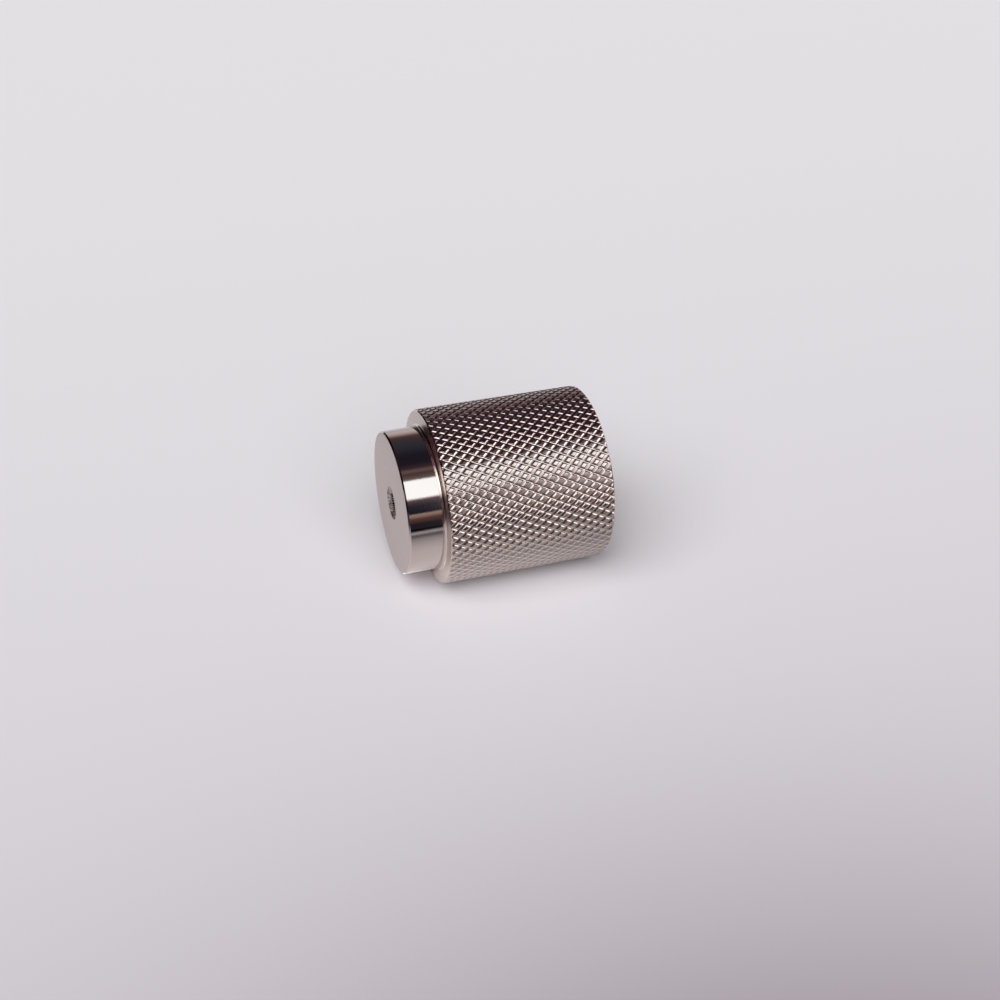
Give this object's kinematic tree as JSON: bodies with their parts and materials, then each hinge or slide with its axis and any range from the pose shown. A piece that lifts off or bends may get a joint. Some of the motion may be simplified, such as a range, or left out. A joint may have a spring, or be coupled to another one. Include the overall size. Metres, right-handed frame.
{
  "type": "knurled knob",
  "caption": "Small turned metal knob with a diamond-knurled head, a plain polished foot and a tapped hole in the foot for a fixing screw.",
  "frame": {"origin": "centre of the foot's end face, on the knob's axis", "axes": "+Z along the knob's axis, from the foot's end face to the head's outer face; X and Y are equal"},
  "size_m": [0.024, 0.024, 0.0277],
  "materials": {
    "nickel": "warm nickel, mirror polished on the foot's wall and the knurl, satin on the turned faces"
  },
  "bodies": {
    "root": {"knob": "nickel"}
  },
  "joints": []
}
